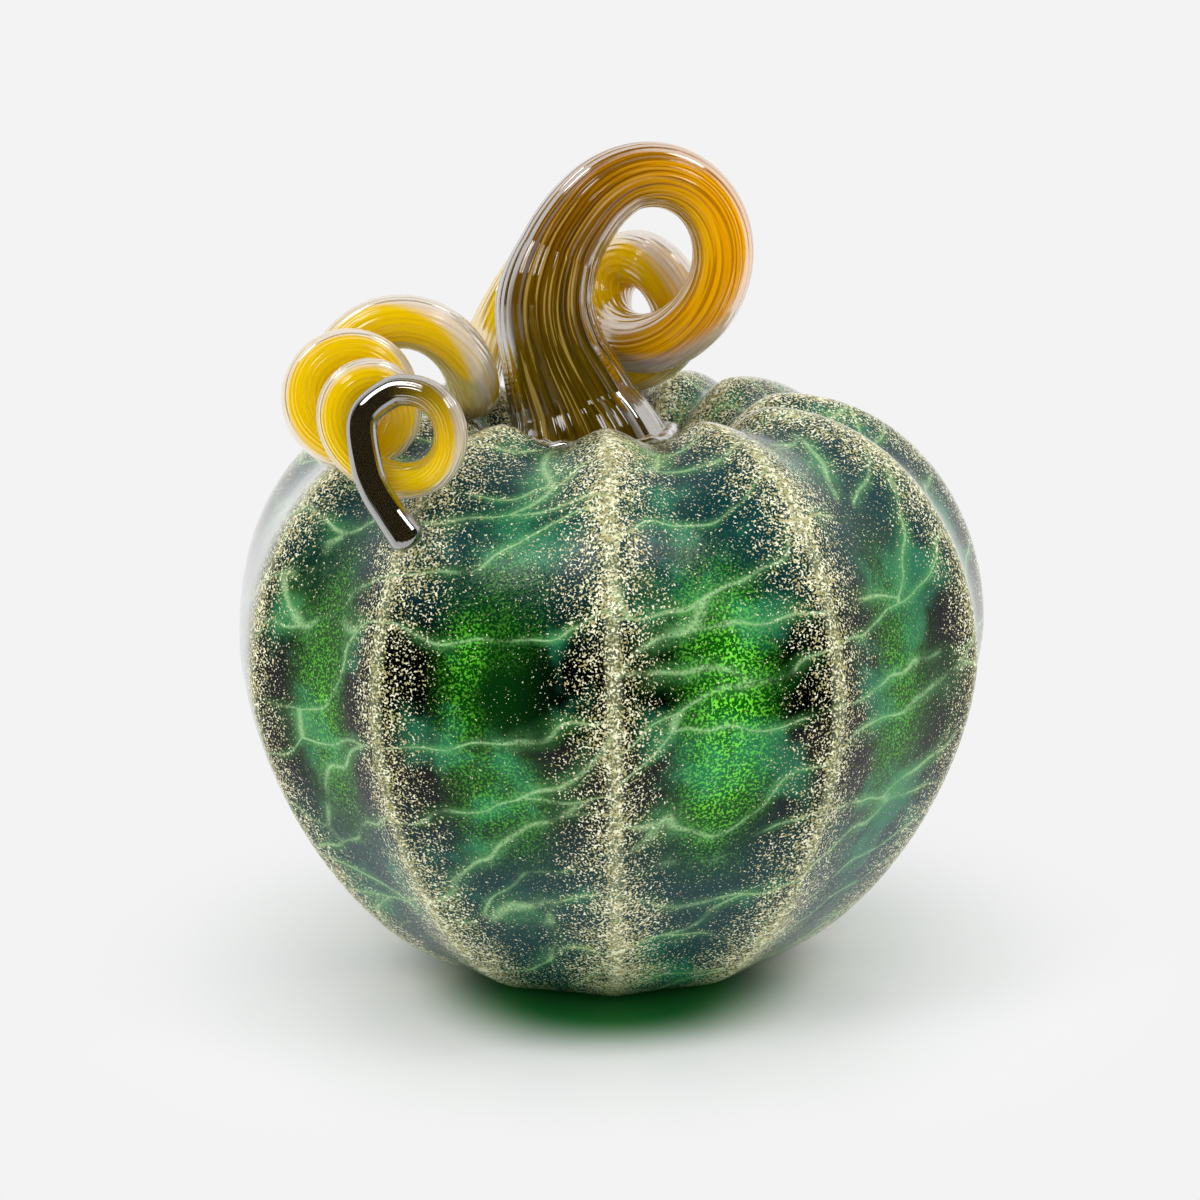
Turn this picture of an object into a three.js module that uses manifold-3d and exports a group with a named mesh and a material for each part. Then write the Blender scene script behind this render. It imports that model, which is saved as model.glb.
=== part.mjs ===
// Blown glass pumpkin: a ribbed, cased bubble with an amber stem that ends in a curling tendril.
// Millimetres and degrees, +Z up, origin at the centre of the foot ring, front rib towards -Y.
import * as THREE from 'three';
import { mergeVertices } from 'three/addons/utils/BufferGeometryUtils.js';
import Module from 'manifold-3d';

const wasm = await Module();
wasm.setup();

// Body outline, over the rib crests
const ribRadius = 65;
const widestHeight = 56;
const crownHeight = 96.5;
const crownRadius = 30;
const footRadius = 24;
const dimpleHeight = 81;
const blowHoleRadius = 8;
const bellyFullness = 1.6;

// Ribs, their depth from crest to valley and the sharpness of their crests
const ribCount = 11;
const ribDepthFoot = 1.0;
const ribDepthBelly = 2.9;
const ribDepthCrown = 3.2;
const ribDepthHole = 0.4;
const ribSharpnessBelow = 0.62;
const ribSharpnessAbove = 0.95;
// Degrees that each rib wandered off its even place as the glass was blown, front rib first
const ribDrift = [0.9, 0.4, 2.1, -4.3, 1.0, -9.5, -6.0, -4.0, -5.0, 4.2, -0.7];

// Glass walls, and the gap that stands for a fused seam
const casingWall = 2.2;
const bubbleWall = 2.4;
const fusedSeam = 0.3;
const recessRadius = 14;
const recessHeight = 1.6;

// Stem: stations from the foot up to the first loop, [x, y, height above the crown, glass radius].
// The foot itself starts below the dimple's floor, which cuts it to shape.
const footStation = [-1.5, -4.5, dimpleHeight - crownHeight - 3, 17.5];
const trunkStations = [
  footStation,
  [-2.0, -4.5, -12.5, 16.5],
  [-3.2, -4.5, -7.0, 13.6],
  [-5.2, -3.6, -0.5, 10.8],
  [-8.2, -3.2, 8.5, 8.8],
  [-9.4, -3.8, 16.7, 8.1],
];
const plugDepth = 5;

// Coil: one station for each turn, [turn, x, y, height above the crown, coil radius, bearing].
// Its first loops face away from the viewer, at 180, and the last ones face the viewer, at 0.
const coilStations = [
  [-0.25, 2.3, 2.6, 8.7, 13.5, 168],
  [0, 5.1, -1.4, 22.3, 14.2, 169],
  [1, 7.0, 15.1, 11.5, 9.6, 225],
  [2, -9.1, 19.9, 11.9, 10.1, 98],
  [3, -33.1, -20.6, 8.4, 7.6, 31],
  [4, -40.2, -30.3, 6.1, 6.4, 2],
  [5, -36.2, -40.8, 3.6, 6.5, 0],
  [6, -28.1, -47.8, 2.0, 7.2, 17],
  [6.36, -29.5, -43.9, 5.9, 8.2, -39],
];
const coilStart = -0.14;
const coilEnd = 6.22;
const stemEnd = 0.6;

// Glass radius along the coil, [turn, radius]
const coilTaper = [
  [-0.14, 6.9], [0, 5.4], [0.12, 5.1], [1, 4.9], [1.9, 4.3], [3, 4.3], [4, 3.9], [5, 3.2], [6, 2.4],
];

// Tail: stations from the last loop down to the sheared tip, which drew together into a bead,
// [x, y, height above the crown, radius]
const tailStations = [
  [-35.9, -49.8, -1.3, 2.4],
  [-34.6, -50.9, -5.2, 2.4],
  [-32.3, -51.8, -9.0, 2.5],
  [-29.9, -52.5, -12.4, 2.8],
  [-29.1, -52.7, -13.6, 1.7],
];
// Steps of the coil's end that bend over into the tail
const tailLead = 3;

// Mesh fineness
const stepsPerRib = 6;
const rowsBelow = 8;
const rowsAbove = 8;
const rowsDimple = 6;
const wallSegments = 32;
const stepsPerTurn = 22;
const ropeSides = 12;

function mix(a, b, share) {
  return a + (b - a) * share;
}

// Rows of the body's outline from foot to blow hole, each set in from the crests by inset
function outlineRows(inset) {
  const rows = [];
  const reach = ribRadius - inset;
  const top = crownHeight - inset;
  const crest = crownRadius + inset / 2;
  for (let i = 0; i <= rowsBelow; i += 1) {
    const angle = (Math.PI / 2) * (i / rowsBelow);
    rows.push({
      r: footRadius + (reach - footRadius) * Math.sin(angle) ** (2 / bellyFullness),
      z: widestHeight - (widestHeight - inset) * Math.cos(angle) ** (2 / bellyFullness),
      normal: [1, 0],
      depth: mix(ribDepthFoot, ribDepthBelly, Math.sin(angle)),
      sharpness: ribSharpnessBelow,
    });
  }
  for (let i = 1; i <= rowsAbove; i += 1) {
    const angle = (Math.PI / 2) * (i / rowsAbove);
    rows.push({
      r: crest + (reach - crest) * Math.cos(angle),
      z: widestHeight + (top - widestHeight) * Math.sin(angle),
      normal: [Math.cos(angle), Math.sin(angle)],
      depth: mix(ribDepthBelly, ribDepthCrown, i / rowsAbove),
      sharpness: mix(ribSharpnessBelow, ribSharpnessAbove, i / rowsAbove),
    });
  }
  for (let i = 1; i <= rowsDimple; i += 1) {
    const share = i / rowsDimple;
    const fall = (1 + Math.cos(Math.PI * share)) / 2;
    const lean = (Math.PI / 3) * Math.sin(Math.PI * share);
    rows.push({
      r: mix(crest, blowHoleRadius, share),
      z: mix(dimpleHeight - inset, top, fall),
      normal: [-Math.sin(lean), Math.cos(lean)],
      depth: mix(ribDepthCrown, ribDepthHole, share),
      sharpness: ribSharpnessAbove,
    });
  }
  return rows;
}

function ribAngle(index) {
  const turn = Math.floor(index / ribCount);
  const rib = index - turn * ribCount;
  return (360 / ribCount) * index + ribDrift[rib % ribDrift.length];
}

// Bearings of the columns, and how far each lies from a crest: 0 on it, 1 in the valley
function ribColumns() {
  const columns = [];
  for (let rib = 0; rib < ribCount; rib += 1) {
    for (let step = 0; step < stepsPerRib; step += 1) {
      const share = step / stepsPerRib;
      columns.push({
        bearing: THREE.MathUtils.degToRad(mix(ribAngle(rib), ribAngle(rib + 1), share)),
        fromCrest: 1 - Math.abs(1 - 2 * share),
      });
    }
  }
  return columns;
}

// A closed skin over rings of points, each ring [x, y, z] triples, with a centre point at each end
function skinGeometry(first, rings, last) {
  const count = rings[0].length;
  const positions = [...first, ...rings.flat(2), ...last];
  const lastIndex = 1 + rings.length * count;
  const index = [];
  for (let i = 0; i < count; i += 1) {
    const next = (i + 1) % count;
    index.push(0, 1 + next, 1 + i);
    for (let ring = 0; ring < rings.length - 1; ring += 1) {
      const a = 1 + ring * count;
      const b = a + count;
      index.push(a + i, a + next, b + next, a + i, b + next, b + i);
    }
    const end = lastIndex - count;
    index.push(end + i, end + next, lastIndex);
  }
  const geometry = new THREE.BufferGeometry();
  geometry.setAttribute('position', new THREE.Float32BufferAttribute(positions, 3));
  geometry.setIndex(index);
  return geometry;
}

// The ribbed outside of the body as a closed solid, grown outwards by grow
function ribbedGeometry(grow) {
  const columns = ribColumns();
  const rings = outlineRows(-grow).map((row) => columns.map(({ bearing, fromCrest }) => {
    const hollow = row.depth * (1 - Math.cos(Math.PI * fromCrest ** row.sharpness)) / 2;
    const r = row.r - row.normal[0] * hollow;
    const z = row.z - row.normal[1] * hollow;
    return [r * Math.sin(bearing), -r * Math.cos(bearing), z];
  }));
  const rim = columns.map(({ bearing }) => [
    recessRadius * Math.sin(bearing), -recessRadius * Math.cos(bearing), -grow,
  ]);
  return skinGeometry([0, 0, recessHeight - grow], [rim, ...rings], [0, 0, dimpleHeight + grow]);
}

// A turned solid inside the body, set in by inset, whose neck runs up through the blow hole
function innerGeometry(inset, neckRadius) {
  const floor = recessHeight + inset;
  const profile = [new THREE.Vector2(0, floor), new THREE.Vector2(footRadius, floor)];
  for (const { r, z } of outlineRows(inset)) {
    if (z > floor + 1 && r > neckRadius) {
      profile.push(new THREE.Vector2(r, z));
    }
  }
  const neckFoot = dimpleHeight - inset;
  if (neckRadius > 0) {
    profile.push(new THREE.Vector2(neckRadius, neckFoot));
    profile.push(new THREE.Vector2(neckRadius, crownHeight));
    profile.push(new THREE.Vector2(0, crownHeight));
  } else {
    profile.push(new THREE.Vector2(0, neckFoot));
  }
  const geometry = new THREE.LatheGeometry(profile, wallSegments);
  geometry.rotateX(Math.PI / 2);
  return geometry;
}

function toSolid(geometry) {
  const plain = geometry.clone();
  plain.deleteAttribute('normal');
  plain.deleteAttribute('uv');
  const merged = mergeVertices(plain, 1e-4);
  return new wasm.Manifold(new wasm.Mesh({
    numProp: 3,
    vertProperties: Float32Array.from(merged.attributes.position.array),
    triVerts: Uint32Array.from(merged.index.array),
  }));
}

function toGeometry(solid) {
  const { vertProperties, triVerts } = solid.getMesh();
  const geometry = new THREE.BufferGeometry();
  geometry.setAttribute('position', new THREE.BufferAttribute(vertProperties, 3));
  geometry.setIndex(new THREE.BufferAttribute(triVerts, 1));
  return geometry;
}

// Rings of points round a glass rope, square to its path
function ropeRings(stations) {
  const normal = new THREE.Vector3();
  let before = null;
  return stations.map(({ centre, radius }, i) => {
    const from = stations[Math.max(i - 1, 0)].centre;
    const to = stations[Math.min(i + 1, stations.length - 1)].centre;
    const tangent = new THREE.Vector3().subVectors(to, from).normalize();
    if (before === null) {
      normal.set(0, 1, 0).addScaledVector(tangent, -tangent.y).normalize();
    } else {
      normal.applyQuaternion(new THREE.Quaternion().setFromUnitVectors(before, tangent));
    }
    before = tangent;
    const side = new THREE.Vector3().crossVectors(tangent, normal);
    const points = Array.from({ length: ropeSides }, (_, k) => {
      const angle = (2 * Math.PI * k) / ropeSides;
      return centre.clone()
        .addScaledVector(normal, radius * Math.cos(angle))
        .addScaledVector(side, radius * Math.sin(angle));
    });
    return { centre, radius, tangent, points };
  });
}

// A solid length of glass rope, its ends cut square
function ropeGeometry(rings) {
  const loops = rings.map(({ points }) => points.map((point) => point.toArray()));
  return skinGeometry(rings[0].centre.toArray(), loops, rings.at(-1).centre.toArray());
}

// Smooth value of one column of the coil's stations at a turn, through every station
function coilValue(turn, column) {
  const last = coilStations.length - 1;
  let i = 0;
  while (i < last - 1 && coilStations[i + 1][0] <= turn) {
    i += 1;
  }
  const slope = (k) => (coilStations[k + 1][column] - coilStations[k][column])
    / (coilStations[k + 1][0] - coilStations[k][0]);
  const tangent = (k) => (slope(Math.max(k - 1, 0)) + slope(Math.min(k, last - 1))) / 2;
  const span = coilStations[i + 1][0] - coilStations[i][0];
  const t = (turn - coilStations[i][0]) / span;
  return (2 * t ** 3 - 3 * t ** 2 + 1) * coilStations[i][column]
    + (t ** 3 - 2 * t ** 2 + t) * span * tangent(i)
    + (3 * t ** 2 - 2 * t ** 3) * coilStations[i + 1][column]
    + (t ** 3 - t ** 2) * span * tangent(i + 1);
}

// Centre of the glass on the coil: a right-handed helix whose axis and radius follow the stations
function coilPoint(turn) {
  const [x, y, above] = [1, 2, 3].map((column) => coilValue(turn, column));
  const centre = new THREE.Vector3(x, y, crownHeight + above);
  const radius = coilValue(turn, 4);
  const facing = THREE.MathUtils.degToRad(coilValue(turn, 5));
  const angle = 2 * Math.PI * turn;
  const sideways = radius * Math.sin(angle);
  return centre.add(new THREE.Vector3(
    -sideways * Math.cos(facing),
    sideways * Math.sin(facing),
    radius * Math.cos(angle),
  ));
}

function glassRadius(turn) {
  const [firstTurn, firstRadius] = coilTaper[0];
  let radius = firstRadius;
  let reached = firstTurn;
  for (const [nextTurn, nextRadius] of coilTaper.slice(1)) {
    if (turn > reached) {
      radius = mix(radius, nextRadius, Math.min((turn - reached) / (nextTurn - reached), 1));
    }
    reached = nextTurn;
  }
  return radius;
}

function placed([x, y, above, radius]) {
  return { centre: new THREE.Vector3(x, y, crownHeight + above), radius };
}

function coilRun(fromTurn, toTurn) {
  const steps = Math.ceil((toTurn - fromTurn) * stepsPerTurn);
  return Array.from({ length: steps + 1 }, (_, i) => {
    const turn = mix(fromTurn, toTurn, i / steps);
    return { centre: coilPoint(turn), radius: glassRadius(turn) };
  });
}

// Evenly spaced stations on a smooth curve through a few of them
function smoothRun(stations, steps) {
  const curve = new THREE.CatmullRomCurve3(stations.map(({ centre }) => centre), false, 'centripetal');
  const last = stations.length - 1;
  return Array.from({ length: steps + 1 }, (_, i) => {
    const place = (i / steps) * last;
    const low = Math.min(Math.floor(place), last - 1);
    const radius = mix(stations[low].radius, stations[low + 1].radius, place - low);
    return { centre: curve.getPoint(i / steps), radius };
  });
}

function bubble() {
  const inset = ribDepthBelly + casingWall + fusedSeam;
  const outside = toSolid(innerGeometry(inset, 0));
  const hollow = toSolid(innerGeometry(inset + bubbleWall, blowHoleRadius));
  return toGeometry(outside.subtract(hollow));
}

function casing() {
  const hollow = toSolid(innerGeometry(ribDepthBelly + casingWall, blowHoleRadius));
  return toGeometry(toSolid(ribbedGeometry(0)).subtract(hollow));
}

// The whole pull of amber glass, from the foot through the coil to the tail
const trunk = trunkStations.map(placed);
const firstLoop = coilRun(coilStart, stemEnd);
const laterLoops = coilRun(stemEnd, coilEnd);
const rise = smoothRun([...trunk, ...firstLoop.slice(0, 2)], 2 * (trunk.length + 1));
const tail = smoothRun(
  [laterLoops.at(-1 - tailLead), laterLoops.at(-1), ...tailStations.map(placed)],
  3 * (tailStations.length + 1),
);
const rope = ropeRings([
  ...rise.slice(0, -1), ...firstLoop.slice(1, -1), ...laterLoops.slice(0, -1 - tailLead), ...tail,
]);
const seam = rise.length + firstLoop.length - 3;

// Least clear space between two turns of the rope, in millimetres
function leastTurnGap() {
  const along = [0];
  for (let i = 1; i < rope.length; i += 1) {
    along.push(along[i - 1] + rope[i].centre.distanceTo(rope[i - 1].centre));
  }
  let least = Infinity;
  rope.forEach((near, i) => rope.forEach((far, j) => {
    const both = near.radius + far.radius;
    if (along[j] - along[i] > 2 * both) {
      least = Math.min(least, near.centre.distanceTo(far.centre) - both);
    }
  }));
  return least;
}
console.log(`least gap between the coil's turns: ${leastTurnGap().toFixed(2)} mm`);

function stem() {
  const pull = toSolid(ropeGeometry(rope.slice(0, seam + 1)));
  const plug = new THREE.CylinderGeometry(
    blowHoleRadius - fusedSeam, blowHoleRadius - fusedSeam, plugDepth + 2, wallSegments,
  );
  plug.rotateX(Math.PI / 2);
  plug.translate(0, 0, dimpleHeight + 1 - plugDepth / 2);
  return toGeometry(pull.subtract(toSolid(ribbedGeometry(fusedSeam))).add(toSolid(plug)));
}

function tendril() {
  const { centre, tangent, points } = rope[seam];
  const moved = (point) => point.clone().addScaledVector(tangent, fusedSeam);
  const cut = { centre: moved(centre), points: points.map(moved) };
  return ropeGeometry([cut, ...rope.slice(seam + 1)]);
}

function glass(colour, roughness) {
  return new THREE.MeshStandardMaterial({ color: colour, roughness, metalness: 0, flatShading: true });
}

const pumpkin = new THREE.Group();
for (const [name, geometry, colour, roughness] of [
  ['inner_bubble', bubble(), '#0d2420', 0.1],
  ['ribbed_casing', casing(), '#2f5f48', 0.3],
  ['stem', stem(), '#c98a12', 0.08],
  ['tendril', tendril(), '#d9a51c', 0.08],
]) {
  const mesh = new THREE.Mesh(geometry, glass(colour, roughness));
  mesh.name = name;
  pumpkin.add(mesh);
}

export default pumpkin;
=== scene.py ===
# Blown glass pumpkin: a ribbed body with gold flecks, and a pulled amber stem that curls into a
# thin tendril. Metres, +Z up, front rib towards -Y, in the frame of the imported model.
import math

import bpy
from mathutils import Matrix, Vector


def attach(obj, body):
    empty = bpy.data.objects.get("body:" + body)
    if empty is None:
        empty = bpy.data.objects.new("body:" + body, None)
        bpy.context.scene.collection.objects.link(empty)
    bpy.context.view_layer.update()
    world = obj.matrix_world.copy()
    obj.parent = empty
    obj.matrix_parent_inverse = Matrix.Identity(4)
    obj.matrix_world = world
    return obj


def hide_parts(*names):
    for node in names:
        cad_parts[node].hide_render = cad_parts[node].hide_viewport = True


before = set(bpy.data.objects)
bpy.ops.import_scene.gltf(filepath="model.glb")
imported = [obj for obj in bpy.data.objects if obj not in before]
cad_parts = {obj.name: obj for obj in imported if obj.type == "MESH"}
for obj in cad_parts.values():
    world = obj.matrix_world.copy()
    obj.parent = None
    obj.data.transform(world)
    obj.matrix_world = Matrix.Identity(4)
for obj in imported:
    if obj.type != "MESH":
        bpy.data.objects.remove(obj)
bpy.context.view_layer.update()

MM = 0.001


# RIBBED BODY
# Two gathers of dark green soda-lime glass, seen as one, with gold mica flecks between them. A
# ribbed mould crowded the mica on the ribs, and blowing out drew the milky veins of the panels
# sideways. The body stands on its flat foot.
RIB_COUNT = 11
RIB_RADIUS = 65 * MM
WIDEST_HEIGHT = 56 * MM
CROWN_HEIGHT = 96.5 * MM
CROWN_RADIUS = 30 * MM
FOOT_RADIUS = 24 * MM
RECESS_RADIUS = 14 * MM
RECESS_HEIGHT = 1.6 * MM
DIMPLE_HEIGHT = 81 * MM
DIMPLE_FLOOR_RADIUS = 8 * MM
DIMPLE_LEAN = math.radians(60)
BELLY_FULLNESS = 1.6
RIB_DEPTH_FOOT = 1.0 * MM
RIB_DEPTH_BELLY = 2.9 * MM
RIB_DEPTH_CROWN = 3.2 * MM
RIB_DEPTH_HOLE = 0.4 * MM
RIB_SHARPNESS_BELOW = 0.62
RIB_SHARPNESS_ABOVE = 0.95
# How far each rib strayed from its even place when the glass was blown out, in degrees
RIB_DRIFT = (0.9, 0.4, 2.1, -4.3, 1.0, -9.5, -6.0, -4.0, -5.0, 4.2, -0.7)
# The underside has no ribs, so its glass looks as it does between a crest and a panel
UNDERSIDE_FROM_CREST = 0.5
UNDERSIDE_CREST_DISTANCE = 4 * MM
STEPS_PER_RIB = 32
ROWS_BELOW = 60
ROWS_ABOVE = 56
ROWS_DIMPLE = 30


def mix(a, b, share):
    """The value at a share of the way from a to b."""
    return a + (b - a) * share


def body_rows():
    """Rows of the body from foot to dimple: radius, height, way outwards, rib depth, sharpness."""
    rows = []
    for i in range(ROWS_BELOW + 1):
        angle = math.pi / 2 * i / ROWS_BELOW
        rows.append((
            mix(FOOT_RADIUS, RIB_RADIUS, math.sin(angle) ** (2 / BELLY_FULLNESS)),
            WIDEST_HEIGHT * (1 - max(math.cos(angle), 0.0) ** (2 / BELLY_FULLNESS)),
            (1.0, 0.0),
            mix(RIB_DEPTH_FOOT, RIB_DEPTH_BELLY, math.sin(angle)),
            RIB_SHARPNESS_BELOW,
        ))
    for i in range(1, ROWS_ABOVE + 1):
        angle = math.pi / 2 * i / ROWS_ABOVE
        share = i / ROWS_ABOVE
        rows.append((
            mix(CROWN_RADIUS, RIB_RADIUS, math.cos(angle)),
            mix(WIDEST_HEIGHT, CROWN_HEIGHT, math.sin(angle)),
            (math.cos(angle), math.sin(angle)),
            mix(RIB_DEPTH_BELLY, RIB_DEPTH_CROWN, share),
            mix(RIB_SHARPNESS_BELOW, RIB_SHARPNESS_ABOVE, share),
        ))
    for i in range(1, ROWS_DIMPLE + 1):
        share = i / ROWS_DIMPLE
        lean = DIMPLE_LEAN * math.sin(math.pi * share)
        rows.append((
            mix(CROWN_RADIUS, DIMPLE_FLOOR_RADIUS, share),
            mix(DIMPLE_HEIGHT, CROWN_HEIGHT, (1 + math.cos(math.pi * share)) / 2),
            (-math.sin(lean), math.cos(lean)),
            mix(RIB_DEPTH_CROWN, RIB_DEPTH_HOLE, share),
            RIB_SHARPNESS_ABOVE,
        ))
    return rows


def rib_bearing(index):
    """Bearing of a rib's crest in degrees, counted from the front towards +X."""
    return 360 / RIB_COUNT * index + RIB_DRIFT[index % RIB_COUNT]


def body_columns():
    """Bearing in radians and place between two crests, 0 to 1, of every column of the mesh."""
    columns = []
    for rib in range(RIB_COUNT):
        for step in range(STEPS_PER_RIB):
            share = step / STEPS_PER_RIB
            bearing = mix(rib_bearing(rib), rib_bearing(rib + 1), share)
            columns.append((math.radians(bearing), share))
    return columns


# The mesh is made row by row, because the ribs change their depth and sharpness on the way up and
# each strays by its own angle, which edit mode's operators don't give
columns = body_columns()
rows = body_rows()
points = []
from_crest = []
crest_distance = []
length_up = []
travelled = 0.0
for number, (radius, height, outwards, depth, sharpness) in enumerate(rows):
    if number:
        travelled += math.dist(rows[number - 1][:2], (radius, height))
    for bearing, share in columns:
        across = 1 - abs(1 - 2 * share)
        press = depth * (1 - math.cos(math.pi * across ** sharpness)) / 2
        r = radius - outwards[0] * press
        points.append((r * math.sin(bearing), -r * math.cos(bearing), height - outwards[1] * press))
        from_crest.append(across)
        crest_distance.append(across * radius * math.pi / RIB_COUNT)
        length_up.append(travelled)
count = len(columns)
faces = []
for row in range(len(rows) - 1):
    for i in range(count):
        a = row * count + i
        b = row * count + (i + 1) % count
        faces.append((a, b, b + count, a + count))

# The foot ring, the recess inside it and the floor of the dimple close the body
rim = len(points)
for bearing, share in columns:
    points.append((RECESS_RADIUS * math.sin(bearing), -RECESS_RADIUS * math.cos(bearing), 0.0))
points.append((0.0, 0.0, RECESS_HEIGHT))
points.append((0.0, 0.0, DIMPLE_HEIGHT))
from_crest += [UNDERSIDE_FROM_CREST] * (count + 2)
crest_distance += [UNDERSIDE_CREST_DISTANCE] * (count + 2)
length_up += [0.0] * (count + 1) + [travelled]
top = (len(rows) - 1) * count
for i in range(count):
    j = (i + 1) % count
    faces.append((rim + i, rim + j, j, i))
    faces.append((rim + count, rim + j, rim + i))
    faces.append((top + i, top + j, rim + count + 1))

mesh = bpy.data.meshes.new("ribbed_body")
mesh.from_pydata(points, [], faces)
mesh.update()
body = bpy.data.objects.new("ribbed_body", mesh)
bpy.context.scene.collection.objects.link(body)
for name, values in (("from_crest", from_crest), ("crest_distance", crest_distance)):
    mesh.attributes.new(name, "FLOAT", "POINT").data.foreach_set("value", values)
mesh.polygons.foreach_set("use_smooth", [True] * len(mesh.polygons))

# The map of the panels, in metres: round the belly, and up along the skin from the foot
uv = mesh.uv_layers.new(name="panel_map")
arc = 2 * math.pi * RIB_RADIUS / count
for polygon in mesh.polygons:
    places = [vertex % count for vertex in polygon.vertices if vertex < rim + count]
    wraps = 0 in places and count - 1 in places
    for loop, vertex in zip(polygon.loop_indices, polygon.vertices):
        step = vertex % count if vertex < rim + count else places[0]
        uv.data[loop].uv = ((count if wraps and step == 0 else step) * arc, length_up[vertex])


def linear(code):
    """An sRGB hex colour as the linear colour that a node's socket takes."""
    channels = [int(code[i:i + 2], 16) / 255 for i in (1, 3, 5)]
    return tuple(c / 12.92 if c <= 0.04045 else ((c + 0.055) / 1.055) ** 2.4 for c in channels) + (1.0,)


def add_node(tree, kind, inputs=None, **settings):
    """Adds a shader node with its settings. Its inputs are values or other nodes' outputs."""
    made = tree.nodes.new("ShaderNode" + kind)
    for name, value in settings.items():
        setattr(made, name, value)
    for socket, value in (inputs or {}).items():
        if isinstance(value, bpy.types.NodeSocket):
            tree.links.new(value, made.inputs[socket])
        else:
            made.inputs[socket].default_value = value
    return made.outputs


def new_material(name):
    """A material whose nodes are all still to be added."""
    material = bpy.data.materials.new(name)
    material.use_nodes = True
    material.node_tree.nodes.clear()
    return material, material.node_tree


# Soda-lime glass this deep in colour looks black and glossy, and green only where it is thin or lit;
# that green is painted light in its colour. The mica shows as bright gold points under the skin, and
# the veins as thin milky lines.
VEIN_LENGTH = 55 * MM
VEIN_WIDTH = 11 * MM
VEIN_DRIFT = 24 * MM
VEIN_SWEEP = math.radians(-17)
CLUMP_REACH = 16 * MM
FLECK_LEVEL = 0.365
FLECK_EDGE = 0.03
SKIN_WAVE = 4.0
SKIN_RELIEF = 0.10 * MM
material, tree = new_material("cased soda-lime glass, gold mica")
place = add_node(tree, "TexCoord")["Object"]
panel_at = add_node(tree, "UVMap", uv_map="panel_map")["UV"]
spot = add_node(tree, "SeparateXYZ", {0: place})
from_crest_at = add_node(tree, "Attribute", attribute_name="from_crest")["Fac"]
crest_distance_at = add_node(tree, "Attribute", attribute_name="crest_distance")["Fac"]
facing = add_node(tree, "LayerWeight", {"Blend": 0.5})["Facing"]

# Every uneven field in the glass: its size in millimetres, detail and roughness
field = {}
for name, size, detail, roughness in (
    ("drift", 24, 2.0, 0.5), ("patch", 26, 2.0, 0.5), ("cloud", 13, 3.0, 0.55),
    ("clump", 6, 4.0, 0.70), ("grain", 0.40, 1.0, 0.5), ("fleck", 0.36, 1.5, 0.6), ("gilt", 0.9, 1.0, 0.5),
):
    field[name] = add_node(
        tree, "TexNoise",
        {"Vector": place, "Scale": 1 / (size * MM), "Detail": detail, "Roughness": roughness},
    )

# Veins: long cells, swept up to the right, which milky glass outlines
swept = {0: field["drift"]["Color"], 1: (VEIN_DRIFT,) * 3, 2: panel_at}
swept = add_node(tree, "VectorMath", swept, operation="MULTIPLY_ADD")[0]
swept = add_node(tree, "Mapping", {"Vector": swept, "Rotation": (0, 0, VEIN_SWEEP)})[0]
swept = add_node(tree, "Mapping", {"Vector": swept, "Scale": (1 / VEIN_LENGTH, 1 / VEIN_WIDTH, 1)})[0]
vein = add_node(
    tree, "TexVoronoi", {"Vector": swept, "Scale": 1.0}, voronoi_dimensions="2D", feature="DISTANCE_TO_EDGE",
)["Distance"]
for name, change in (("cloud", 0.09), ("grain", 0.04)):
    vein = add_node(tree, "Math", {0: field[name]["Fac"], 1: change, 2: vein}, operation="MULTIPLY_ADD")[0]

# Where each effect shows: the field it follows, from a value at which it is nil to one at which it is full
cloud, patch, grain = (field[name]["Fac"] for name in ("cloud", "patch", "grain"))
share = {}
for name, source, nil, full in (
    ("line", vein, 0.105, 0.070), ("haze", vein, 0.23, 0.08), ("near vein", vein, 0.28, 0.14),
    ("milk", cloud, 0.34, 0.58), ("smoke", cloud, 0.50, 0.68), ("bright", patch, 0.32, 0.56),
    ("glow speckle", grain, 0.49, 0.63), ("speckle", grain, 0.15, 0.62), ("gilt", field["gilt"]["Fac"], 0.35, 0.65),
    ("low", spot["Z"], 48 * MM, 26 * MM), ("high", spot["Z"], 66 * MM, 84 * MM),
    ("glow foot", spot["Z"], 26 * MM, 50 * MM), ("glow top", spot["Z"], 92 * MM, 64 * MM),
    ("above foot", spot["Z"], 30 * MM, 60 * MM), ("front", spot["Y"], -30 * MM, -54 * MM),
    ("middle", from_crest_at, 0.40, 0.95), ("panel", from_crest_at, 0.06, 0.40),
    ("crest", crest_distance_at, 1.8 * MM, 0.4 * MM), ("rim", facing, 0.60, 0.95),
):
    window = {"Value": source, "From Min": nil, "From Max": full}
    share[name] = add_node(tree, "MapRange", window, interpolation_type="SMOOTHSTEP")[0]

# Combined shares: a name, an operation and the two that it joins
for name, operation, first, second in (
    ("teal", "MAXIMUM", "low", "high"),
    ("rim", "MULTIPLY", "rim", "above foot"),
    ("glow height", "MULTIPLY", "glow foot", "glow top"),
    ("near vein", "MULTIPLY", "near vein", "panel"),
    ("lit", "MAXIMUM", "middle", "near vein"),
    ("glow", "MULTIPLY", "glow height", "lit"),
    ("front glow", "MULTIPLY", "glow height", "bright"),
    ("front glow", "MULTIPLY", "front glow", "middle"),
    ("front glow", "MULTIPLY", "front glow", "front"),
    ("line", "MULTIPLY", "line", "milk"),
    ("line", "MULTIPLY", "line", "speckle"),
    ("haze", "MULTIPLY", "haze", "milk"),
    ("haze", "MULTIPLY", "haze", "panel"),
    ("haze", "MULTIPLY", "haze", "speckle"),
    ("smoke", "MULTIPLY", "smoke", "panel"),
    ("glow speckle", "MULTIPLY", "glow speckle", "front glow"),
):
    share[name] = add_node(tree, "Math", {0: share[first], 1: share[second]}, operation=operation)[0]
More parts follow.
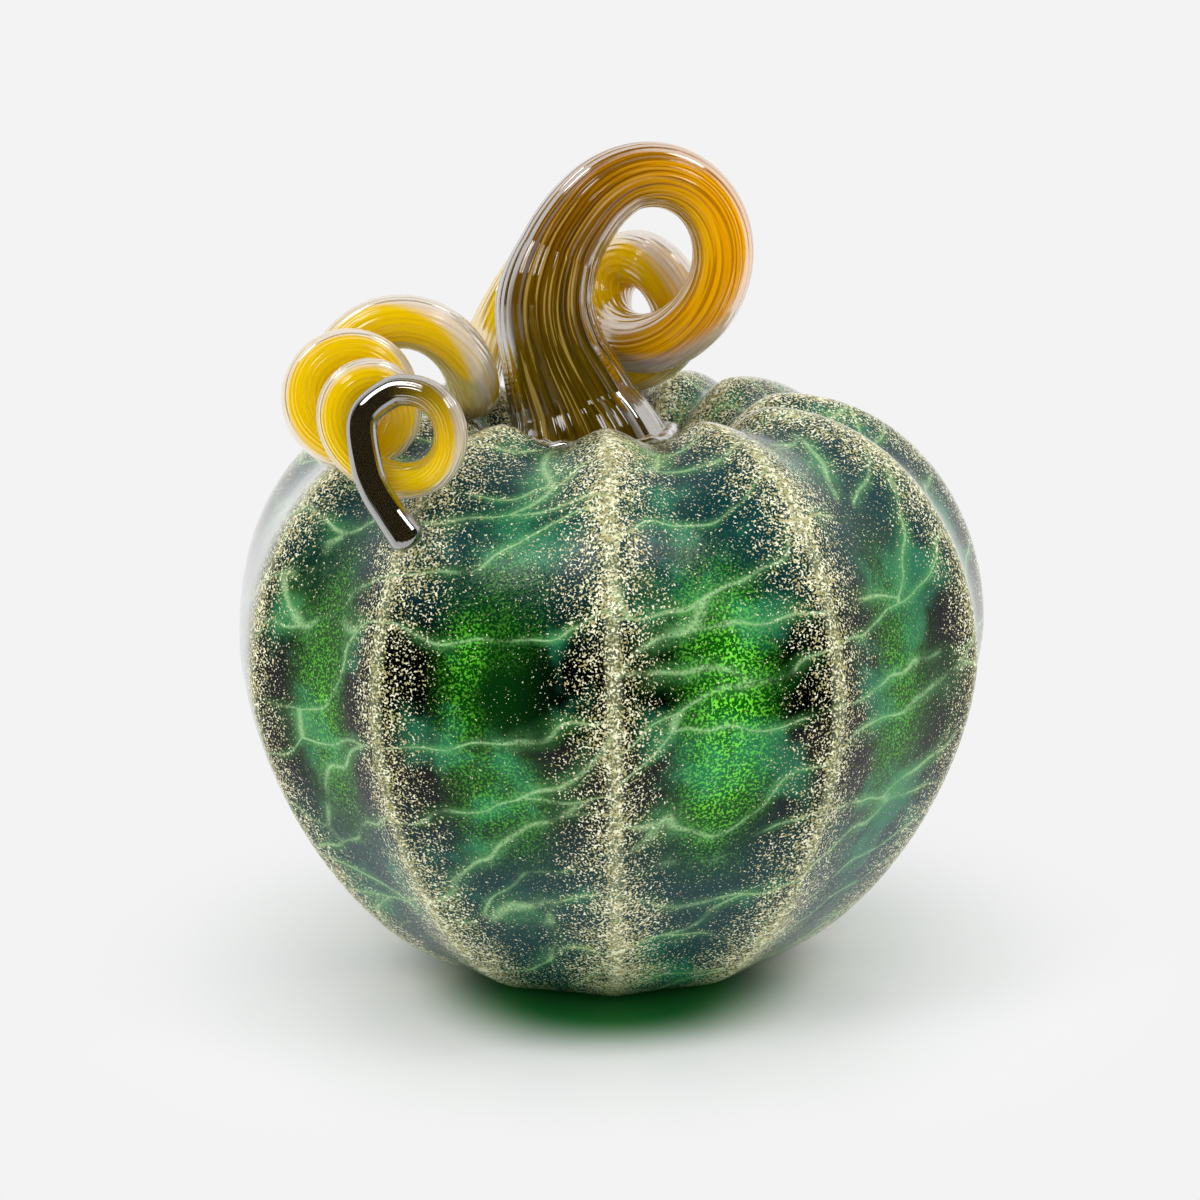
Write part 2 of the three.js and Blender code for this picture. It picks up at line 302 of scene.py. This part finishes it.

# The layers of colour from the depth of the glass outwards, each with its greatest cover. A Mix
# node takes its two colours at sockets 6 and 7, and gives the mixed one as its output 2.
# The first layer is painted light: dark teal near the foot and the crown, where the table and the lamps
# above light the glass, and black round the belly, which faces the dark room.
colour = add_node(
    tree, "Mix", {0: share["teal"], 6: linear("#000302"), 7: linear("#0f3a3c")}, data_type="RGBA",
)[2]
# The first three layers below are painted light: green light through the thin middles of the panels,
# stronger on the front panels only, with bright green points in it there.
for name, cover, code in (
    ("glow", 0.85, "#043208"), ("front glow", 0.92, "#0a6404"), ("glow speckle", 0.88, "#84fc40"),
    ("smoke", 0.40, "#34a070"), ("haze", 0.42, "#6cb86c"), ("line", 0.75, "#b4e0a0"),
    # The crest layer is a painted highlight: a pale line along the crest of each rib.
    ("crest", 0.30, "#b4c294"),
):
    covered = add_node(tree, "Math", {0: share[name], 1: cover}, operation="MULTIPLY")[0]
    colour = add_node(tree, "Mix", {0: covered, 6: colour, 7: linear(code)}, data_type="RGBA")[2]

# Gold mica flecks of 0.2 to 0.5 mm: the nearer a crest, the foot or the crown, the lower the level at
# which the fleck field shows one
ragged = {0: field["clump"]["Fac"], 1: CLUMP_REACH, 2: crest_distance_at}
ragged = add_node(tree, "Math", ragged, operation="MULTIPLY_ADD")[0]
level = FLECK_LEVEL
for source, near, far, change in (
    (ragged, 9.5 * MM, 21 * MM, 0.14), (ragged, 6.5 * MM, 11.5 * MM, 0.08),
    (spot["Z"], 5 * MM, 44 * MM, 0.06), (spot["Z"], 90 * MM, 62 * MM, 0.045),
):
    window = {"Value": source, "From Min": near, "From Max": far, "To Max": change}
    step = add_node(tree, "MapRange", window, interpolation_type="SMOOTHSTEP")[0]
    level = add_node(tree, "Math", {0: step, 1: level}, operation="ADD")[0]
above = add_node(tree, "Math", {0: field["fleck"]["Fac"], 1: level}, operation="SUBTRACT")[0]
fleck = add_node(tree, "MapRange", {"Value": above, "From Min": 0.0, "From Max": FLECK_EDGE})[0]
gilt = add_node(
    tree, "Mix", {0: share["gilt"], 6: linear("#b4ac74"), 7: linear("#fbf8d4")}, data_type="RGBA",
)[2]
colour = add_node(tree, "Mix", {0: fleck, 6: colour, 7: gilt}, data_type="RGBA")[2]

# The flecks stand a little proud under the skin, and the blown skin waves gently
relief = {0: field["clump"]["Fac"], 1: SKIN_WAVE, 2: field["fleck"]["Fac"]}
relief = add_node(tree, "Math", relief, operation="MULTIPLY_ADD")[0]
normal = add_node(tree, "Bump", {"Strength": 0.5, "Distance": SKIN_RELIEF, "Height": relief})[0]

# The coat is the pale rim that a thick clear case shows at a glancing view
shader = add_node(tree, "BsdfPrincipled", {
    "Base Color": colour, "Roughness": 0.15, "IOR": 1.50, "Specular IOR Level": 0.22, "Normal": normal,
    "Coat Weight": share["rim"], "Coat Roughness": 0.15, "Coat IOR": 2.2,
})
add_node(tree, "OutputMaterial", {"Surface": shader[0]})
mesh.materials.append(material)
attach(body, "root")
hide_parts("ribbed_casing", "inner_bubble")


# PULLED STEM AND TENDRIL
# One gather of amber soda-lime glass, dropped hot over the blow hole, pulled up and wound round
# a rod, thinner all the way to its sheared tip. Pulling left fine lengthwise grooves, and a
# metal fume gave the outside a pearly lustre.
STEPS_PER_TURN = 22
ROPE_SIDES = 72
RING_SPACING = 0.7 * MM
# Stations of the pull, in millimetres: x, y, height above the crown, glass radius
TRUNK = (
    (-1.5, -4.5, -18.5, 17.5), (-2.0, -4.5, -12.5, 16.5), (-3.2, -4.5, -7.0, 13.6),
    (-5.2, -3.6, -0.5, 10.8), (-8.2, -3.2, 8.5, 8.8), (-9.4, -3.8, 16.7, 8.1),
)
# One station for each turn of the coil: turn, x, y, height above the crown, coil radius, bearing
COIL = (
    (-0.25, 2.3, 2.6, 8.7, 13.5, 168), (0, 5.1, -1.4, 22.3, 14.2, 169),
    (1, 7.0, 15.1, 11.5, 9.6, 225), (2, -9.1, 19.9, 11.9, 10.1, 98),
    (3, -33.1, -20.6, 8.4, 7.6, 31), (4, -40.2, -30.3, 6.1, 6.4, 2),
    (5, -36.2, -40.8, 3.6, 6.5, 0), (6, -28.1, -47.8, 2.0, 7.2, 17),
    (6.36, -29.5, -43.9, 5.9, 8.2, -39),
)
COIL_START = -0.14
COIL_END = 6.22
# Glass radius in millimetres at some turns of the coil
COIL_TAPER = (
    (-0.14, 6.9), (0, 5.4), (0.12, 5.1), (1, 4.9), (1.9, 4.3), (3, 4.3), (4, 3.9), (5, 3.2), (6, 2.4),
)
TAIL = (
    (-35.9, -49.8, -1.3, 2.4), (-34.6, -50.9, -5.2, 2.4), (-32.3, -51.8, -9.0, 2.5),
    (-29.9, -52.5, -12.4, 2.8), (-29.1, -52.7, -13.6, 1.7),
)
# Points left out before the coil's end, so that the tail leaves it in one sweep
TAIL_LEAD = 3
# The trunk has no inner and outer side, which come in over as long a stretch again
TRUNK_STRAIGHT = 50 * MM
# The bend at a ring is read this many rings each way, and is full where twice the sag is this
BEND_REACH = 8
FULL_BEND = 2.2 * MM
# The grooves wind round the pull, in radians a metre, and change their pattern along it
GROOVE_TWIST = 8
GROOVE_CHANGE = 3


def above_crown(x, y, above):
    """A place in metres, from millimetres and a height above the crown."""
    return Vector((x * MM, y * MM, CROWN_HEIGHT + above * MM))


def coil_value(turn, column):
    """Smooth value of one column of the coil's stations, through every station."""
    last = len(COIL) - 1
    i = max(k for k in range(last) if k == 0 or COIL[k][0] <= turn)

    def slope(k):
        return (COIL[k + 1][column] - COIL[k][column]) / (COIL[k + 1][0] - COIL[k][0])

    def tangent(k):
        return (slope(max(k - 1, 0)) + slope(min(k, last - 1))) / 2

    span = COIL[i + 1][0] - COIL[i][0]
    t = (turn - COIL[i][0]) / span
    return (
        (2 * t ** 3 - 3 * t ** 2 + 1) * COIL[i][column]
        + (t ** 3 - 2 * t ** 2 + t) * span * tangent(i)
        + (3 * t ** 2 - 2 * t ** 3) * COIL[i + 1][column]
        + (t ** 3 - t ** 2) * span * tangent(i + 1)
    )


def coil_point(turn):
    """Centre of the glass on the coil, a helix whose axis follows the stations."""
    radius = coil_value(turn, 4)
    facing = math.radians(coil_value(turn, 5))
    sideways = radius * math.sin(2 * math.pi * turn)
    return above_crown(
        coil_value(turn, 1) - sideways * math.cos(facing),
        coil_value(turn, 2) + sideways * math.sin(facing),
        coil_value(turn, 3) + radius * math.cos(2 * math.pi * turn),
    )


def coil_radius(turn):
    """Glass radius at a turn of the coil."""
    for (start, thick), (end, thin) in zip(COIL_TAPER, COIL_TAPER[1:]):
        if turn <= end:
            return mix(thick, thin, max(turn - start, 0) / (end - start)) * MM
    return COIL_TAPER[-1][1] * MM


def smooth_path(stations):
    """Evenly spaced points and radii on a centripetal curve through stations, in metres."""
    places = [station[0] for station in stations]
    places = [2 * places[0] - places[1]] + places + [2 * places[-1] - places[-2]]
    path = []
    for i in range(1, len(places) - 2):
        a, b, c, d = places[i - 1:i + 3]
        before, span, after = ((q - p).length ** 0.5 for p, q in ((a, b), (b, c), (c, d)))
        leave = ((b - a) / before - (c - a) / (before + span) + (c - b) / span) * span
        arrive = ((c - b) / span - (d - b) / (span + after) + (d - c) / after) * span
        steps = max(2, round((c - b).length / RING_SPACING))
        for step in range(steps):
            t = step / steps
            point = (
                b * (2 * t ** 3 - 3 * t ** 2 + 1) + leave * (t ** 3 - 2 * t ** 2 + t)
                + c * (3 * t ** 2 - 2 * t ** 3) + arrive * (t ** 3 - t ** 2)
            )
            path.append((point, mix(stations[i - 1][1], stations[i][1], t)))
    path.append(stations[-1])
    return path


# The mesh is made ring by ring, because each ring carries its place along the pull, its twist and
# its inner side, which the colours and grooves follow and which a bevelled curve doesn't keep
steps = round((COIL_END - COIL_START) * STEPS_PER_TURN)
turns = [mix(COIL_START, COIL_END, i / steps) for i in range(steps - TAIL_LEAD + 1)] + [COIL_END]
stations = [(above_crown(*row[:3]), row[3] * MM) for row in TRUNK]
stations += [(coil_point(turn), coil_radius(turn)) for turn in turns]
stations += [(above_crown(*row[:3]), row[3] * MM) for row in TAIL]
path = smooth_path(stations)

points = []
grooves = []
along = []
inward = []
travelled = 0.0
frame_normal = None
tangent_before = None
for i, (centre, radius) in enumerate(path):
    if i:
        travelled += (centre - path[i - 1][0]).length
    tangent = (path[min(i + 1, len(path) - 1)][0] - path[max(i - 1, 0)][0]).normalized()
    if frame_normal is None:
        frame_normal = Vector((0, 1, 0)) - tangent * tangent.y
    else:
        frame_normal = tangent_before.rotation_difference(tangent) @ frame_normal
    frame_normal = (frame_normal - tangent * frame_normal.dot(tangent)).normalized()
    tangent_before = tangent
    side = tangent.cross(frame_normal)
    ahead = path[min(i + BEND_REACH, len(path) - 1)][0]
    behind = path[max(i - BEND_REACH, 0)][0]
    bend = ahead + behind - 2 * centre
    bend = bend - tangent * bend.dot(tangent)
    past_trunk = min(1.0, max(0.0, (travelled - TRUNK_STRAIGHT) / TRUNK_STRAIGHT))
    bend = bend.normalized() * min(1.0, bend.length / FULL_BEND) * past_trunk
    for k in range(ROPE_SIDES):
        angle = 2 * math.pi * k / ROPE_SIDES
        outwards = frame_normal * math.cos(angle) + side * math.sin(angle)
        points.append(centre + outwards * radius)
        inward.append(outwards.dot(bend))
        twisted = angle + travelled * GROOVE_TWIST
        grooves.append((math.cos(twisted), math.sin(twisted), travelled * GROOVE_CHANGE))
        along.append(travelled)
faces = []
for ring in range(len(path) - 1):
    for k in range(ROPE_SIDES):
        a = ring * ROPE_SIDES + k
        b = ring * ROPE_SIDES + (k + 1) % ROPE_SIDES
        faces.append((a, b, b + ROPE_SIDES, a + ROPE_SIDES))
faces.append(tuple(reversed(range(ROPE_SIDES))))
faces.append(tuple(range((len(path) - 1) * ROPE_SIDES, len(path) * ROPE_SIDES)))
mesh = bpy.data.meshes.new("pulled_stem")
mesh.from_pydata(points, [], faces)
mesh.update()
stem = bpy.data.objects.new("pulled_stem", mesh)
bpy.context.scene.collection.objects.link(stem)
mesh.polygons.foreach_set("use_smooth", [True] * len(mesh.polygons))
mesh.attributes.new("along", "FLOAT", "POINT").data.foreach_set("value", along)
mesh.attributes.new("inward", "FLOAT", "POINT").data.foreach_set("value", inward)
mesh.attributes.new("grooves", "FLOAT_VECTOR", "POINT").data.foreach_set(
    "vector", [value for triple in grooves for value in triple]
)

# Pulled amber glass glows yellow where it is thin and goes brown where the trunk is thick; the yellow
# glow of the thin coil is painted light in its colour. Its grooves draw long sharp glints, with painted
# glints as pale lines on the trunk, and the pale band on the outer side of the turns is a painted
# reflection of the bright surround.
FLUTES = 26
FLUTE_DRIFT = 12.0
TRUNK_FLUTE = 1.2
FINE_RIDGE = 2.0
TAIL_SMOOTHING = 0.9
LEAST_LUSTRE = 0.08
TAIL_LUSTRE = 0.7
GROOVE_RELIEF = 0.05 * MM
material, tree = new_material("pulled amber soda-lime glass, fumed")
grooves_at = add_node(tree, "Attribute", attribute_name="grooves")["Vector"]
length = add_node(tree, "Attribute", attribute_name="along")["Fac"]
inward_at = add_node(tree, "Attribute", attribute_name="inward")["Fac"]
facing = add_node(tree, "LayerWeight", {"Blend": 0.5})["Facing"]
around = add_node(tree, "SeparateXYZ", {0: grooves_at})
around = add_node(tree, "Math", {0: around["Y"], 1: around["X"]}, operation="ARCTAN2")[0]

# Fine, broad and wide lengthwise lines, by how many fit in the glass's girth
lines = {}
for name, count_round in (("fine", 90), ("broad", 30), ("wide", 9)):
    lines[name] = add_node(
        tree, "TexNoise", {"Vector": grooves_at, "Scale": count_round / (2 * math.pi), "Detail": 2.0},
    )["Fac"]

# Where each effect shows, as for the body, and then the layers of colour
share = {}
for name, source, nil, full in (
    # The light lines, kept to the trunk, are painted glints along its grooves.
    ("dark line", lines["fine"], 0.50, 0.58), ("groove glint", lines["fine"], 0.41, 0.37),
    ("shade", lines["broad"], 0.44, 0.62), ("streak", lines["broad"], 0.26, 0.50),
    ("brown", lines["wide"], 0.46, 0.60), ("trunk", length, 84 * MM, 46 * MM),
    ("foot", length, 54 * MM, 26 * MM), ("thin", length, 90 * MM, 150 * MM),
    ("tail", length, travelled - 46 * MM, travelled - 26 * MM),
    ("inner", inward_at, -0.1, 0.7), ("outer reflection", inward_at, -0.60, -0.90), ("lustre", facing, 0.25, 0.37),
):
    window = {"Value": source, "From Min": nil, "From Max": full}
    share[name] = add_node(tree, "MapRange", window, interpolation_type="SMOOTHSTEP")[0]
for name, first, second in (
    ("outer reflection", "outer reflection", "streak"), ("trunk line", "dark line", "trunk"),
    ("groove glint", "groove glint", "trunk"),
):
    share[name] = add_node(tree, "Math", {0: share[first], 1: share[second]}, operation="MULTIPLY")[0]
colour = linear("#ffb600")
for name, cover, code in (
    ("inner", 0.70, "#ffd000"), ("shade", 0.35, "#d08600"), ("brown", 0.35, "#986000"),
    # The foot layer is a painted view through the glass: the dark green body showing olive at the stem's
    # foot.
    ("dark line", 0.50, "#7a4000"), ("trunk", 0.86, "#5c3600"), ("foot", 0.66, "#383c00"),
    # The thin layer is painted light: the bright yellow glow of light through the thin coil.
    ("trunk line", 0.40, "#241200"), ("groove glint", 0.36, "#f0d070"), ("thin", 0.78, "#ffd800"),
    # The outer layer is a painted reflection of the bright surround on the outer side of the turns.
    ("outer reflection", 0.62, "#dcdcee"), ("tail", 0.98, "#080403"),
):
    covered = add_node(tree, "Math", {0: share[name], 1: cover}, operation="MULTIPLY")[0]
    colour = add_node(tree, "Mix", {0: covered, 6: colour, 7: linear(code)}, data_type="RGBA")[2]
lustre = {0: share["tail"], 1: TAIL_LUSTRE, 2: LEAST_LUSTRE}
lustre = add_node(tree, "Math", lustre, operation="MULTIPLY_ADD")[0]
lustre = add_node(tree, "Math", {0: share["lustre"], 1: lustre}, operation="MAXIMUM")[0]
clear = {"Value": length, "From Min": 40 * MM, "From Max": 120 * MM, "To Min": 0.05, "To Max": 0.15}
clear = add_node(tree, "MapRange", clear)[0]

# Shallow flutes round the pull, unevenly spaced and deeper on the trunk, with fine ridges on them.
# Both fade on the tail.
flute = add_node(tree, "Math", {0: lines["wide"], 1: FLUTE_DRIFT}, operation="MULTIPLY")[0]
flute = add_node(tree, "Math", {0: around, 1: FLUTES, 2: flute}, operation="MULTIPLY_ADD")[0]
flute = add_node(tree, "Math", {0: flute}, operation="SINE")[0]
deeper = add_node(tree, "Math", {0: share["trunk"], 1: TRUNK_FLUTE, 2: 1.0}, operation="MULTIPLY_ADD")[0]
flute = add_node(tree, "Math", {0: flute, 1: deeper}, operation="MULTIPLY")[0]
ridge = add_node(tree, "Math", {0: lines["fine"], 1: FINE_RIDGE, 2: flute}, operation="MULTIPLY_ADD")[0]
even = add_node(tree, "Math", {0: share["tail"], 1: -TAIL_SMOOTHING, 2: 1.0}, operation="MULTIPLY_ADD")[0]
ridge = add_node(tree, "Math", {0: ridge, 1: even}, operation="MULTIPLY")[0]
normal = add_node(tree, "Bump", {"Strength": 1.0, "Distance": GROOVE_RELIEF, "Height": ridge})[0]

# The coat is the film of fume, with an IOR far above that of glass for its mirror-like glints
shader = add_node(tree, "BsdfPrincipled", {
    "Base Color": colour, "Roughness": 0.05, "IOR": 1.52, "Transmission Weight": clear, "Normal": normal,
    "Subsurface Weight": 0.6, "Subsurface Radius": (1.0, 0.8, 0.1), "Subsurface Scale": 4 * MM,
    "Coat Weight": lustre, "Coat Roughness": 0.03, "Coat IOR": 5.0, "Coat Normal": normal,
})
add_node(tree, "OutputMaterial", {"Surface": shader[0]})
mesh.materials.append(material)
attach(stem, "root")
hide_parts("stem", "tendril")


# LIP OF THE STEM'S FOOT
# A wavy bead of the same amber glass round the trunk, pushed out over the ribs when the hot foot
# was pressed on the crown. It caught more of the fume than the rest, and its silver patches are
# painted highlights.
LIP_RADIUS = 1.1 * MM
LIP_DEPTH = 5.6 * MM
LIP_STAND = 0.2
# The bead swells and thins in two waves, by this share and with these radians from point to point
LIP_SWELL = 0.15
LIP_SHORT_WAVE = 0.52
LIP_LONG_WAVE = 0.26
LIP_PATCH_SIZE = 2.5 * MM
LIP_RELIEF = 0.25 * MM
# A height above the whole object, from which a ray is sent down to the ribs
RAY_HEIGHT = 200 * MM
bpy.context.view_layer.update()
lip_points = []
for k in range(ROPE_SIDES):
    for ring in range(len(path)):
        skin = points[ring * ROPE_SIDES + k]
        hit, under = body.ray_cast((skin.x, skin.y, RAY_HEIGHT), (0, 0, -1))[:2]
        if hit and skin.z > max(under.z, CROWN_HEIGHT - LIP_DEPTH):
            lip_points.append(skin + (skin - path[ring][0]).normalized() * LIP_STAND * LIP_RADIUS)
            break
curve = bpy.data.curves.new("stem_lip", "CURVE")
curve.dimensions = "3D"
curve.bevel_depth = LIP_RADIUS
curve.bevel_resolution = 4
spline = curve.splines.new("POLY")
spline.points.add(len(lip_points) - 1)
spline.use_cyclic_u = True
for number, (point, skin) in enumerate(zip(spline.points, lip_points)):
    waves = math.sin(number * LIP_SHORT_WAVE) + math.sin(number * LIP_LONG_WAVE)
    point.co = (*skin, 1.0)
    point.radius = 1.0 + LIP_SWELL * waves
lip = bpy.data.objects.new("stem_lip", curve)
bpy.context.scene.collection.objects.link(lip)
bpy.ops.object.select_all(action="DESELECT")
lip.select_set(True)
bpy.context.view_layer.objects.active = lip
bpy.ops.object.convert(target="MESH")
lip = bpy.context.object
lip.data.polygons.foreach_set("use_smooth", [True] * len(lip.data.polygons))

# A thick metal fume gives mirror-like glints; the patches of silver on olive amber are painted highlights
material, tree = new_material("amber soda-lime glass, fume, painted silver highlights")
place = add_node(tree, "TexCoord")["Object"]
wave = add_node(tree, "TexNoise", {"Vector": place, "Scale": 1 / LIP_PATCH_SIZE, "Detail": 1.0})["Fac"]
silver_highlight = add_node(tree, "MapRange", {"Value": wave, "From Min": 0.45, "From Max": 0.55})[0]
# The silver patches are painted highlights on the olive amber glass.
colour = add_node(tree, "Mix", {0: silver_highlight, 6: linear("#6a5400"), 7: linear("#d8d4dc")}, data_type="RGBA")[2]
normal = add_node(tree, "Bump", {"Strength": 1.0, "Distance": LIP_RELIEF, "Height": wave})[0]
shader = add_node(tree, "BsdfPrincipled", {
    "Base Color": colour, "Roughness": 0.05, "IOR": 1.52, "Normal": normal,
    "Coat Weight": 1.0, "Coat Roughness": 0.02, "Coat IOR": 5.0, "Coat Normal": normal,
})
add_node(tree, "OutputMaterial", {"Surface": shader[0]})
lip.data.materials.append(material)
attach(lip, "root")


# STAGE
# A white acrylic sheet as the table, which fades into a pale surround all round the object, and
# two soft window lamps. The room in front of the object, on the viewer's side, is dark.
TABLE_SIZE = 6.0
CAUSTIC_FORWARD = 20 * MM
SURROUND_LIGHT = 0.896
ROOM_DARKNESS = 0.985
ROOM_TOWARDS = (0.0, -0.98, 0.20)
ROOM_EDGE = 0.06
bpy.ops.object.select_all(action="DESELECT")
bpy.ops.mesh.primitive_plane_add(size=TABLE_SIZE, location=(0, 0, 0))
floor = bpy.context.object
floor.name = "white_table"

# Cast acrylic is smooth and even, so it gives soft reflections. Green light that falls through
# the glass is painted on it round the foot, and away from the object it is as bright as the surround.
material, tree = new_material("white acrylic sheet")
place = add_node(tree, "TexCoord")["Object"]
rays = add_node(tree, "LightPath")
far = add_node(tree, "VectorMath", {0: place}, operation="LENGTH")["Value"]
cast = add_node(tree, "VectorMath", {0: place, 1: (0.0, CAUSTIC_FORWARD, 0.0)}, operation="ADD")[0]
cast = add_node(tree, "VectorMath", {0: cast}, operation="LENGTH")["Value"]
depth = add_node(tree, "SeparateXYZ", {0: place})["Y"]
share = {}
for name, source, nil, full in (
    ("backdrop", far, 42 * MM, 105 * MM), ("caustic", cast, 36 * MM, 16 * MM),
    ("room", depth, -140 * MM, -200 * MM),
):
    window = {"Value": source, "From Min": nil, "From Max": full}
    share[name] = add_node(tree, "MapRange", window, interpolation_type="SMOOTHSTEP")[0]
# The green round the foot is painted light: a caustic put into the sheet's colour.
colour = add_node(
    tree, "Mix", {0: share["caustic"], 6: linear("#fafcfc"), 7: linear("#218038")}, data_type="RGBA",
)[2]
sheet = add_node(tree, "BsdfPrincipled", {"Base Color": colour, "Roughness": 0.40})

# In reflections the sheet ends in front of the object, where the viewer's dark room begins
room = add_node(tree, "Math", {0: share["room"], 1: ROOM_DARKNESS}, operation="MULTIPLY")[0]
room = add_node(tree, "Math", {0: room, 1: rays["Is Glossy Ray"]}, operation="MULTIPLY")[0]
room = add_node(tree, "Math", {0: 1.0, 1: room}, operation="SUBTRACT")[0]
strength = add_node(tree, "Math", {0: room, 1: SURROUND_LIGHT}, operation="MULTIPLY")[0]
plain = add_node(tree, "Emission", {"Color": linear("#ffffff"), "Strength": strength})
seen = share["backdrop"]
for ray in ("Is Diffuse Ray", "Is Shadow Ray"):
    hidden = add_node(tree, "Math", {0: 1.0, 1: rays[ray]}, operation="SUBTRACT")[0]
    seen = add_node(tree, "Math", {0: seen, 1: hidden}, operation="MULTIPLY")[0]
joined = add_node(tree, "MixShader", {0: seen, 1: sheet[0], 2: plain[0]})
add_node(tree, "OutputMaterial", {"Surface": joined[0]})
floor.data.materials.append(material)

# The surround is white overhead, behind and at the sides, and the viewer's room in front is dark
world = bpy.data.worlds.new("pale surround")
bpy.context.scene.world = world
world.use_nodes = True
tree = world.node_tree
tree.nodes.clear()
rays = add_node(tree, "LightPath")
direction = add_node(tree, "TexCoord")["Generated"]
room = add_node(tree, "VectorMath", {0: direction, 1: ROOM_TOWARDS}, operation="DOT_PRODUCT")["Value"]
window = {"Value": room, "From Min": -ROOM_EDGE, "From Max": ROOM_EDGE, "To Max": ROOM_DARKNESS}
room = add_node(tree, "MapRange", window, interpolation_type="SMOOTHSTEP")[0]
room = add_node(tree, "Math", {0: room, 1: rays["Is Glossy Ray"]}, operation="MULTIPLY")[0]
lit = add_node(tree, "Math", {0: 1.0, 1: room}, operation="SUBTRACT")[0]
strength = add_node(tree, "Math", {0: lit, 1: SURROUND_LIGHT}, operation="MULTIPLY")[0]
surround = add_node(tree, "Background", {"Color": linear("#ffffff"), "Strength": strength})
add_node(tree, "OutputWorld", {"Surface": surround[0]})

# Each lamp's name, place and size in metres, and power in watts
LAMPS = (
    ("window_left", (-0.55, -0.45, 0.95), 0.35, 2.4),
    ("window_right", (0.60, -0.25, 0.90), 0.30, 1.6),
)
LAMP_AIM = Vector((0, 0, 50 * MM))
for name, place_at, size, power in LAMPS:
    data = bpy.data.lights.new(name, "AREA")
    data.shape = "SQUARE"
    data.size = size
    data.energy = power
    lamp = bpy.data.objects.new(name, data)
    lamp.location = place_at
    lamp.rotation_euler = (LAMP_AIM - Vector(place_at)).to_track_quat("-Z", "Y").to_euler()
    bpy.context.scene.collection.objects.link(lamp)

# The photograph's view: 15 degrees above level, 510 mm from a point 45 mm up the axis, which it
# shows at (607.6, 695.8) of 1200 by 1200 pixels, at 5.835 pixels a millimetre
IMAGE = 1200
ELEVATION = math.radians(15.0)
DISTANCE = 510 * MM
AIM = Vector((0, 0, 45 * MM))
AIM_PIXEL = (607.6, 695.8)
PIXELS_PER_METRE = 5835
ROLL = math.radians(-0.82)
SENSOR = 36.0
data = bpy.data.cameras.new("camera")
camera = bpy.data.objects.new("camera", data)
bpy.context.scene.collection.objects.link(camera)
back = Vector((0, -math.cos(ELEVATION), math.sin(ELEVATION)))
turn = (-back).to_track_quat("-Z", "Y").to_matrix().to_4x4() @ Matrix.Rotation(ROLL, 4, "Z")
camera.matrix_world = Matrix.Translation(AIM + back * DISTANCE) @ turn
data.sensor_width = SENSOR
data.lens = SENSOR * PIXELS_PER_METRE * DISTANCE / IMAGE
data.shift_x = (IMAGE / 2 - AIM_PIXEL[0]) / IMAGE
data.shift_y = (AIM_PIXEL[1] - IMAGE / 2) / IMAGE
data.clip_start = 10 * MM
bpy.context.scene.camera = camera
bpy.context.scene.view_settings.view_transform = "Standard"
